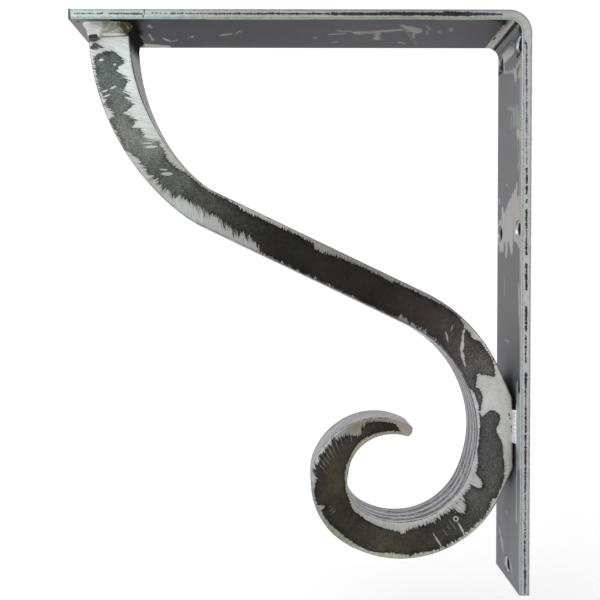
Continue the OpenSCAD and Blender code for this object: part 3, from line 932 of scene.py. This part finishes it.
# Bright ground marks on the inner faces, and a painted highlight across the bend
MARKS_AND_BEND_HIGHLIGHT = on_arm([
    (-233, 10, -232, 14, 0.7), (-236, 25, -236, 36, 0.5), (-228, 33, -225, 38, 0.8),
    (-222, 38, -220, 35, 0.5), (-211, 32, -208, 28, 0.4), (-247, 44, -229, 48, 2.4),
    (-249, 47, -230, 50, 2.0),
]) + on_bend([
    # Painted highlight: a bright band across the bend
    (10, 2, 10, 50, 3.9),
]) + on_leg([
    (17.5, 18, 17, 48, 3.6), (29, 3, 32, 12, 0.9), (32, 12, 31, 20, 0.8), (31, 20, 27, 36, 0.5),
    (27, 36, 22, 37, 0.8), (33, 14, 38, 12, 1.8), (36, 0, 38, 5, 1.9), (77, 0, 73, 7, 2.4),
    (92, 4, 94, 6, 0.9), (104, 9, 112, 10, 1.2), (116, 4, 138, 4, 4.6), (110, 12, 136, 11, 3.6),
    (111, 17, 144, 19, 2.4), (113, 22, 140, 22, 2.2), (116, 26, 136, 26, 2.6), (118, 30, 146, 30, 2.0),
    (121, 35, 136, 35, 2.8), (116, 39, 142, 38, 2.0), (125, 44, 141, 43, 3.0), (126, 49, 137, 49, 2.2),
    (109, 46, 110, 47, 1.2), (140, 1, 152, 0, 1.6), (166, 4, 190, 2, 1.2), (202, 24, 202, 32, 0.5),
    (313, 24, 313, 28, 0.5), (329, 43, 340, 34, 1.5), (341, 20, 346, 15, 0.8),
    (346, 15, 349, 14.4, 0.6), (300, 6, 312, 7, 0.8),
])
# Painted highlight, ragged, along the corner between the inner face and the front edge
RIM_HIGHLIGHT = on_arm([
    (-196, -0.3, -136, -0.3, 1.2), (-112, -0.5, -96, -0.5, 1.0), (-58, -0.4, -30, -0.4, 1.0),
]) + on_leg([
    (28, 1.0, 118, 0.8, 3.4), (118, 0.8, 222, 0.4, 2.0), (300, 0.2, 350, 0.2, 1.4),
])
# Fainter marks, smears, and the strip along the leg's front edge
FAINT_MARKS = on_arm([
    (-191, 27, -184, 24, 0.9), (-182, 26, -177, 18, 0.3), (-131, 31, -130, 31, 0.9),
    (-121, 25, -112, 23, 0.9), (-117, 19, -108, 19, 0.8), (-104, 22, -92, 21, 2.4),
    (-92, 20, -77, 17, 1.5), (-91, 24, -90, 30, 1.4), (-91, 32, -90, 33, 2.0), (-73, 13, -66, 17, 2.4),
    (-70, 17, -66, 20, 3.0), (-68, 22, -67, 31, 0.9), (-77, 10, -73, 14, 1.4), (-62, 10, -59, 16, 0.5),
    (-78, 8, -60, 50, 0.2), (-60, 18, -59, 24, 0.5), (-53, 18, -51, 23, 0.6), (-46, 14, -45, 19, 0.7),
    (-119, 40, -116, 38, 0.6), (-75, 39, -71, 41, 0.8),
]) + on_leg([
    (62, 2, 78, 1, 3.4), (58, 10, 70, 7, 3.4), (56, 16, 66, 15, 2.0), (55, 18, 52, 28, 1.0),
    (101, 28, 101, 32, 0.7), (66, 22, 60, 20, 1.0), (20, 0.2, 345, 0.6, 2.0), (160, 33, 172, 34, 0.6),
    (90, 6, 72, 9, 0.6),
])
# Pale smear and light strip beside the leg's front weld
WELD_GLOW = on_leg([
    (226, 6.0, 312, 6.2, 1.0), (234, 1, 276, 1, 2.4), (243, 5, 264, 5, 3.4),
])
# Painted shade in the bend's crease, dark edges of patches, and pits
DARK_MARKS_AND_CREASE_SHADE = on_arm([
    (-275, 3.6, -274.6, 4.6, 0.8),
]) + on_bend([
    # Painted shade: the crease in the bend and a second dark line
    (37, 0, 37, 26, 1.75), (37, 26, 36, 52, 1.2), (71, 20, 71, 48, 0.4), (68, -1, 74, 2, 3.6),
    (-1, 30, 0, 34, 0.7),
]) + on_leg([
    (24, 0, 25, 9, 1.4), (24, 40, 24, 49, 1.3), (17, 40, 14, 48, 0.5), (230, 2, 240, 1, 0.9),
    (270, 8, 284, 8, 0.7),
])
# Painted shadow and soot, wide and soft, beside the leg welds and right of the scroll's head
SOOT_AND_SHADOW = on_arm([
    (-262, -3, -240, -3, 5.0),
]) + on_leg([
    (247, 22, 250, 40, 21.0), (228, 5, 238, 6, 3.4), (262, 14, 276, 13, 7.5), (270, 22, 282, 20, 5.0),
])
# Painted shade and deep black soot right of the scroll's head, and two blots of painted shade before the bend
HEAD_SOOT_AND_SHADE = on_arm([
    (-249, -2, -250, 44, 6.0), (-245, -2, -246, 22, 6.0), (-241, -3, -244, 12, 4.4),
    (-17, -1, -15, 7, 1.8), (-23, -1, -19, 1, 1.8),
])
# Screw holes in the leg, as in the CAD, and the radius inside which their countersinks are bright
SCREW_EDGE, PAIR_SPACING, FOOT_HOLE_RISE = 6.35, 112.7, 9.5
HOLE_Y, UPPER_HOLE_Z, FOOT_HOLE_Z = HALF_BAR_W - SCREW_EDGE, PAIR_SPACING / 2, FOOT_Z + FOOT_HOLE_RISE
BRIGHT_R = 5.0


def from_hole(m, y, z):
    """How far a place on the leg lies from the axis of the screw hole nearest to it."""
    foot = m.math("LESS_THAN", z, (FOOT_HOLE_Z - UPPER_HOLE_Z) / 2)
    side = m.blend(foot, m.minus(m.math("ABSOLUTE", y), HOLE_Y), y)
    level = m.blend(foot, m.times(m.math("SIGN", z), UPPER_HOLE_Z), FOOT_HOLE_Z)
    return m.vector("LENGTH", m.joined(side, m.minus(z, level)))


def bar_places(m, x, y, z):
    """Distance along the bar's outer face, depth below it, and distance in from the front edge."""
    past_x = m.highest(m.plus(x, BEND_OUT), 0)
    past_z = m.highest(m.minus(z, TOP_Z - BEND_OUT), 0)
    below = m.minus(BEND_OUT, m.vector("LENGTH", m.joined(past_x, past_z)))
    turned = m.times(m.math("ARCTAN2", past_x, past_z), BEND_OUT)
    run = m.plus(m.minus(m.math("MINIMUM", x, -BEND_OUT), ARM_END_X), turned)
    run = m.plus(run, m.highest(m.minus(TOP_Z - BEND_OUT, z), 0))
    return run, below, m.plus(y, HALF_BAR_W)


def along_bar(m, run, rows):
    """Colours along the bar, from rows of (distance, red, green, blue)."""
    return m.ramp(m.math("DIVIDE", run, BAR_L), [(at / BAR_L, rgb(*tone)) for at, *tone in rows])


def bar_faces(m, run, below, inward, cloud, grit):
    """Colour of the bar's wide faces, with painted shade and highlights in it; where they are bare of scale,
    the bend's painted highlight included; and how far soot and painted shade darken them.
    """
    # Tones along the bar, with painted shade under the arm
    wide = along_bar(m, run, FACE_TONES_WITH_SHADE)
    wide = m.scaled(wide, m.times(m.swing(cloud, 0.8, 1.2), m.swing(grit, 0.9, 1.1)))
    # Strokes wander a few millimetres from where they are laid, but little in the bend
    worn, wander = m.noises(m.joined(m.times(run, 0.16), m.times(inward, 0.55)), 1, 4, 0.65)
    loose = m.vector("MULTIPLY", m.vector("SUBTRACT", wander, (0.5, 0.5, 0.5)), (9, 3, 0))
    in_bend = m.window(run, ARM_L - 24, ARM_L - 10, LEG_START + 16, LEG_START + 30)
    loose = m.scaled(loose, m.swing(in_bend, 1, 0.22))
    here = m.joined(run, inward)
    spot = m.vector("ADD", here, loose)
    straight = m.vector("ADD", here, m.scaled(loose, 0.3))
    inner = m.smooth(below, 3.6, 5.4)
    crumble = m.swing(grit, -0.6, 0.6)

    def drawn(rows, soft, where=spot):
        return m.times(m.smooth(m.plus(m.strokes(where, rows), crumble), -soft, soft), inner)

    faint = m.smooth(cloud, 0.3, 0.6, 0.45, 0.8)
    wide = m.paint(wide, rgb(160, 161, 160), drawn(FAINT_MARKS, 0.8), faint)
    heated = m.times(m.smooth(inward, 40, 49), m.window(run, 50, 75, ARM_L - 8, ARM_L))
    wide = m.paint(wide, rgb(84, 80, 100), heated, 0.6)
    # Bare ground marks, and the bend's painted highlight
    bare = drawn(MARKS_AND_BEND_HIGHLIGHT, 0.5)
    wide = m.paint(wide, m.scaled(rgb(179, 177, 174), m.swing(worn, 0.75, 1.25)), bare, 0.9)
    # Painted highlight along the inner face's front corner
    wide = m.paint(wide, rgb(158, 160, 152), drawn(RIM_HIGHLIGHT, 0.5, straight), m.swing(cloud, 0.5, 1))
    # Painted shadow and soot beside the welds, painted shade and soot by the head and before the bend
    soot_and_shade = m.highest(drawn(SOOT_AND_SHADOW, 8, straight), drawn(HEAD_SOOT_AND_SHADE, 2.2, straight))
    wide = m.paint(wide, rgb(14, 13, 15), soot_and_shade, 0.98)
    # Dark marks, and painted shade in the bend's crease
    dark = drawn(DARK_MARKS_AND_CREASE_SHADE, 0.5)
    wide = m.paint(wide, rgb(42, 43, 42), dark, 0.94)
    glow = drawn(WELD_GLOW, 0.7)
    wide = m.paint(wide, rgb(196, 208, 207), glow, 0.88)
    return wide, bare, m.times(m.highest(soot_and_shade, dark), m.minus(1, glow))


def bar_edges(m, run, below, y, facing_y, grit):
    """Colour of the bar's narrow edges, the depth of their seams, and the brushing on them."""
    brushed = m.noise(m.joined(m.times(run, 0.3), m.times(below, 1.8), y), 1, 5, 0.72)
    edge = along_bar(m, run, EDGE_TONES)
    edge = m.scaled(edge, m.times(m.swing(brushed, 0.42, 1.58), m.swing(grit, 0.76, 1.24)))
    uneven = m.noise(m.joined(m.times(run, 0.9), m.times(below, 0.4), y), 1, 4, 0.7)
    depth = m.plus(below, m.swing(uneven, -0.6, 0.6))
    # Rolled rims: a thin broken line just inside each corner
    beads = m.noise(m.joined(m.times(run, 0.9), y), 1, 2, 0.6)
    outer_rim = m.minus(m.times(beads, 0.95), m.gap(depth, 0.8))
    inner_rim = m.minus(m.times(beads, 0.85), m.gap(depth, 5.3))
    rims = m.smooth(m.highest(outer_rim, inner_rim), -0.1, 0.45)
    edge = m.paint(edge, rgb(90, 88, 93), rims, 0.5)

    teeth = m.smooth(m.streaks(run, below, 0.9, 0.12, 4, 0.75), 0.33, 0.67)
    seam = m.plus(m.strokes(m.joined(run, depth), SEAM), m.swing(teeth, -0.34, 0.4))
    seam = m.times(m.smooth(seam, -0.14, 0.16), m.smooth(facing_y, -0.5, -0.8))
    edge = m.paint(edge, along_bar(m, run, SEAM_TONES), seam, 0.96)
    broken = m.noise(m.joined(m.times(run, 0.05), 4), 1, 4, 0.7)
    rear_seam = m.minus(m.swing(broken, -2.3, 2.7), m.gap(depth, 3.1))
    rear_seam = m.times(m.smooth(rear_seam, -0.2, 0.25), m.smooth(facing_y, 0.5, 0.8))
    edge = m.paint(edge, rgb(54, 49, 50), rear_seam, 0.9)
    # The sheared ends show as a dark line
    ends = m.math("MINIMUM", run, m.plus(m.minus(BAR_L, run), 0.9))
    ends = m.smooth(m.plus(ends, m.swing(grit, -0.5, 0.5)), 2, 0.7)
    edge = m.paint(edge, rgb(52, 47, 62), ends, 0.88)
    return edge, m.highest(seam, rear_seam), brushed


def bar_material():
    """Dark hot-rolled bar: scale on its wide faces, bright split edges, ground and scorched spots,
    and painted shade and highlights in the bend, the holes, the corners and under the arm.
    """
    m = new_shader("bar_steel")
    place = m.place()
    x, y, z = m.parts(place)
    _, facing_y, _ = m.parts(m.node("NewGeometry").outputs["Normal"])
    cloud = m.noise(place, 0.045, 5, 0.62)
    grit = m.noise(place, 1.2, 4, 0.65)
    run, below, inward = bar_places(m, x, y, z)
    wide, bare, sooty_and_shaded = bar_faces(m, run, below, inward, cloud, grit)
    edge, seams, brushed = bar_edges(m, run, below, y, facing_y, grit)
    on_edge = m.smooth(m.math("ABSOLUTE", facing_y), 0.35, 0.75)

    # Countersinks are bright where they open; further in, painted shade darkens the bore, and a ring of
    # painted shade runs round each hole
    on_leg_side = m.smooth(x, -BEND_OUT, -BEND_OUT + 1)
    out = m.minus(from_hole(m, y, z), BRIGHT_R)
    cut = m.times(m.smooth(out, 0.15, -0.15), on_leg_side)
    hole_rim_shade = m.times(m.smooth(m.gap(out, 0.2), 0.9, 0.2), m.smooth(grit, 0.42, 0.55), on_leg_side)
    bore_shade = m.smooth(m.plus(x, m.swing(grit, -0.7, 0.7)), -BAR_T + 1, -BAR_T + 1.7)
    sunk = m.mix(m.smooth(y, 4, 14), rgb(210, 213, 220), rgb(150, 151, 155))

    # Painted shade round each hole's rim
    colour = m.paint(wide, rgb(48, 48, 46), hole_rim_shade, 0.75)
    colour = m.paint(colour, edge, on_edge, m.minus(1, cut))
    # Painted shade deep in the bore
    colour = m.mix(cut, colour, m.mix(bore_shade, sunk, rgb(38, 39, 40)))
    bright = m.highest(on_edge, bare, cut)
    matt = m.times(sooty_and_shaded, m.minus(1, on_edge), m.minus(1, cut))
    matt = m.highest(matt, m.times(bore_shade, cut))
    roughness = m.blend(matt, m.blend(bright, m.swing(cloud, 0.36, 0.56), 0.34), 0.9)
    metallic = m.times(m.blend(bright, 0.5, 0.8), m.minus(1, matt))
    height = m.minus(m.times(grit, 0.4), m.times(seams, 1.5))
    height = m.plus(height, m.times(brushed, on_edge, 0.5))
    return m.finish(colour, roughness, metallic, height)


# The head weld's colours from its left (0) to its right (1), and the black blot at its left:
# distance across and down at each end, and half width
WELD_TONES = [
    (0, 228, 231, 228), (0.4, 218, 221, 216), (0.47, 160, 165, 154), (0.72, 170, 174, 163),
    (1, 156, 158, 142),
]
WELD_BLOT = (1.8, 6.9, 5.2, 6.7, 1.5)


def head_weld_material():
    """Ground fillet: white at its left, arcs left by the disc across its middle, olive, then soot and painted
    shade at its right.
    """
    m = new_shader("head_weld_metal")
    place = m.place()
    x, y, z = m.parts(place)
    across = m.minus(x, ARM_END_X + HEAD_INSET - HEAD_W / 2)
    down = m.minus(TOP_Z - BAR_T, z)
    grit = m.noise(place, 0.7, 5, 0.75)
    wander = m.swing(grit, -3.2, 3.2)
    swept = m.vector("LENGTH", m.joined(m.minus(across, 6), m.minus(z, TOP_Z + 16)))
    arcs = m.smooth(m.streaks(swept, across, 0.8, 0.1, 4, 0.75), 0.32, 0.68)
    share = m.math("DIVIDE", m.plus(across, m.times(down, 0.7), wander), HEAD_W)
    colour = m.ramp(share, [(at, rgb(*tone)) for at, *tone in WELD_TONES])
    disc = m.blend(m.smooth(share, 0.4, 0.5), m.swing(arcs, 0.9, 1.1), m.swing(arcs, 0.62, 1.42))
    colour = m.scaled(colour, disc)
    olive = m.smooth(m.plus(m.minus(across, m.times(down, 0.2)), m.times(wander, 1.2)), 18, 21.5)
    olive = m.times(olive, m.smooth(m.noise(place, 0.3, 3, 0.6), 0.36, 0.52, 0.3, 1))
    colour = m.paint(colour, rgb(66, 64, 40), olive, 0.95)
    # A bright lip above the fillet's foot, a dark line along it, and a black blot at its left
    lip = m.smooth(m.gap(m.plus(down, m.swing(grit, -0.9, 0.9)), 5.3), 0.9, 0.3)
    on_lip = m.window(across, 8, 11, HEAD_W - 4, HEAD_W - 1)
    colour = m.paint(colour, rgb(222, 225, 220), lip, on_lip, 0.7)
    foot = m.smooth(m.plus(down, m.swing(grit, -1, 1)), HEAD_WELD_DROP - 0.9, HEAD_WELD_DROP)
    colour = m.paint(colour, rgb(96, 98, 92), foot, m.smooth(across, 7, 10), 0.6)
    comb = m.swing(m.streaks(across, down, 1.5, 0.1, 3, 0.8), -1.5, 1.5)
    blot = m.smooth(m.plus(m.strokes(m.joined(across, down), [WELD_BLOT]), comb), -0.2, 0.25)
    colour = m.paint(colour, rgb(48, 53, 50), blot, 0.95)
    # Painted shade and soot take its right end, and reach further in near the arm on its front
    flare = m.times(m.smooth(down, 5, 1.5), m.smooth(y, -11, -15), -2.6)
    sooty_and_shaded = m.smooth(m.plus(across, m.times(wander, 0.35), flare), HEAD_W - 1.3, HEAD_W + 0.2)
    colour = m.paint(colour, rgb(15, 14, 14), sooty_and_shaded, 0.98)
    matt = m.highest(sooty_and_shaded, m.times(blot, 0.6), m.times(olive, 0.85))
    metallic = m.times(m.minus(1, matt), 0.8)
    return m.finish(colour, m.blend(matt, 0.36, 0.9), metallic, arcs)


def leg_weld_material():
    """Bright weld metal: a painted highlight, near white, on the side away from the leg, and pale blue-grey
    towards the leg.
    """
    m = new_shader("leg_weld_metal")
    x, y, z = m.parts(m.place())
    marks = m.noise(m.joined(m.times(x, 2.4), m.times(y, 0.6), m.times(z, 0.12)), 1, 3, 0.6)
    side = m.smooth(m.plus(x, BAR_T + 1), 0, 0.9)
    # Painted highlight: near white on the bead's side away from the leg
    colour = m.mix(side, rgb(252, 253, 252), rgb(206, 219, 221))
    colour = m.scaled(colour, m.swing(marks, 0.75, 1.3))
    return m.finish(colour, 0.3, 0.8, m.times(marks, 1.25))


# ---------------------------------------------------------------- the object

build_scroll(scroll_material())
build_head_weld(head_weld_material())
leg_weld_metal = leg_weld_material()
build_leg_weld("leg_weld_front_bead", "leg_weld_front", 1, leg_weld_metal)
build_leg_weld("leg_weld_rear_bead", "leg_weld_rear", -1, leg_weld_metal)

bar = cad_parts["flat_bar"]
bar_steel = bar_material()
for slot in bar.material_slots:
    slot.material = bar_steel


# ---------------------------------------------------------------- stage, light and camera

CAMERA_AT = (-142.0, -452.1, -93.1)
CAMERA_TURN = (89.02, 0.01, -0.29)
LENS, SHIFT_X, SHIFT_Y = 42.3, -0.001, 0.002
FLOOR_DROP, FLOOR_HALF = 40, 2500
WALL_BACK, WALL_TOP = 900, 2600
SWEEP_R, SWEEP_STEPS = 500, 16
STAGE_GLOW, WORLD_LIGHT = 0.3, 0.72
# Soft lamps: name, place from the corbel's middle, side of the square, and watts
LAMPS = [
    ("key", (-1300, -900, 1300), 1900, 16),
    ("fill", (1400, -900, -100), 1000, 3),
    ("back_fill", (300, 1500, 900), 1200, 6),
]


def stage_material():
    """Near-white, and white to the camera, but for the object's shadow."""
    m = new_shader("stage_white")
    m.tree.nodes.remove(m.tree.nodes["Principled BSDF"])
    seen = m.node("LightPath").outputs["Is Camera Ray"]
    diffuse = m.node("BsdfDiffuse", rgb(236, 236, 236))
    glow = m.node("Emission", rgb(255, 255, 255), m.times(seen, STAGE_GLOW))
    both = m.node("AddShader", diffuse.outputs[0], glow.outputs[0])
    m.put(m.tree.nodes["Material Output"].inputs["Surface"], both.outputs[0])
    return m.owner


def build_stage():
    """A floor below the corbel that curves up into a wall behind it."""
    floor_z = FOOT_Z - FLOOR_DROP
    profile = [(-FLOOR_HALF, floor_z)]
    for k in range(SWEEP_STEPS + 1):
        a = math.pi / 2 * k / SWEEP_STEPS
        profile.append((WALL_BACK - SWEEP_R * (1 - math.sin(a)), floor_z + SWEEP_R * (1 - math.cos(a))))
    profile.append((WALL_BACK, WALL_TOP))
    verts = [(x * MM, y * MM, z * MM) for y, z in profile for x in (-FLOOR_HALF, FLOOR_HALF)]
    faces = [(2 * k, 2 * k + 1, 2 * k + 3, 2 * k + 2) for k in range(len(profile) - 1)]
    new_object("stage_floor", verts, faces, stage_material())


def build_world():
    """White to the camera and in reflections, and a softer white to light the object."""
    w = Shader(bpy.data.worlds.new("studio"))
    bpy.context.scene.world = w.owner
    rays = w.node("LightPath").outputs
    seen = w.highest(rays["Is Camera Ray"], rays["Is Glossy Ray"], rays["Is Transmission Ray"])
    background = w.tree.nodes["Background"]
    w.put(background.inputs["Color"], (1, 1, 1, 1))
    w.put(background.inputs["Strength"], w.swing(seen, WORLD_LIGHT, 1))


def build_lamp(name, at, size, watts):
    """A square soft lamp, in millimetres from the corbel's middle, aimed at it."""
    middle = (cad_lo + cad_hi) / 2
    lamp = bpy.data.lights.new(name, "AREA")
    lamp.size = size * MM
    lamp.energy = watts
    holder = bpy.data.objects.new(name, lamp)
    holder.location = middle + Vector(at) * MM
    holder.rotation_euler = (middle - holder.location).to_track_quat("-Z", "Y").to_euler()
    bpy.context.scene.collection.objects.link(holder)


def build_camera():
    camera = bpy.data.cameras.new("camera")
    camera.lens = LENS
    camera.shift_x, camera.shift_y = SHIFT_X, SHIFT_Y
    holder = bpy.data.objects.new("camera", camera)
    holder.location = Vector(CAMERA_AT) * MM
    holder.rotation_euler = [math.radians(turn) for turn in CAMERA_TURN]
    bpy.context.scene.collection.objects.link(holder)
    bpy.context.scene.camera = holder


build_stage()
build_world()
for lamp in LAMPS:
    build_lamp(*lamp)
build_camera()
bpy.context.scene.view_settings.view_transform = "Standard"
